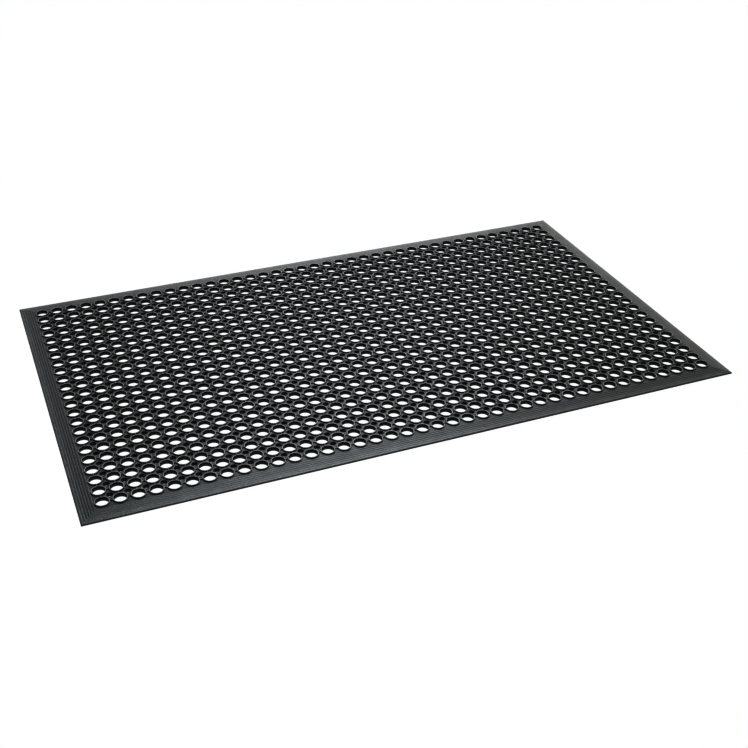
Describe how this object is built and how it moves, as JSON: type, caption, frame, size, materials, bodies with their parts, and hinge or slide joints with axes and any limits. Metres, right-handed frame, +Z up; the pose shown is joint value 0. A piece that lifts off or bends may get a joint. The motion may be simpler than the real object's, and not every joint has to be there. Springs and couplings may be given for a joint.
{
  "type": "anti fatigue mat",
  "caption": "Rectangular perforated rubber floor mat with raised ring holes, small drain holes in hollow feet and ribbed bevelled ramps on all four edges.",
  "frame": {"origin": "middle of the footprint, on the floor", "axes": "+X along the long side, +Y across the mat from the front edge to the rear edge, +Z up"},
  "size_m": [1.524, 0.904, 0.01],
  "materials": {
    "deck_rubber": "black moulded rubber, fine matt grain with a soft sheen on the ring tops",
    "ramp_rubber": "black moulded rubber, satin, ribbed along each edge"
  },
  "bodies": {
    "root": {"perforated_deck": "deck_rubber", "front_ramp": "ramp_rubber", "rear_ramp": "ramp_rubber", "left_ramp": "ramp_rubber", "right_ramp": "ramp_rubber"}
  },
  "joints": []
}
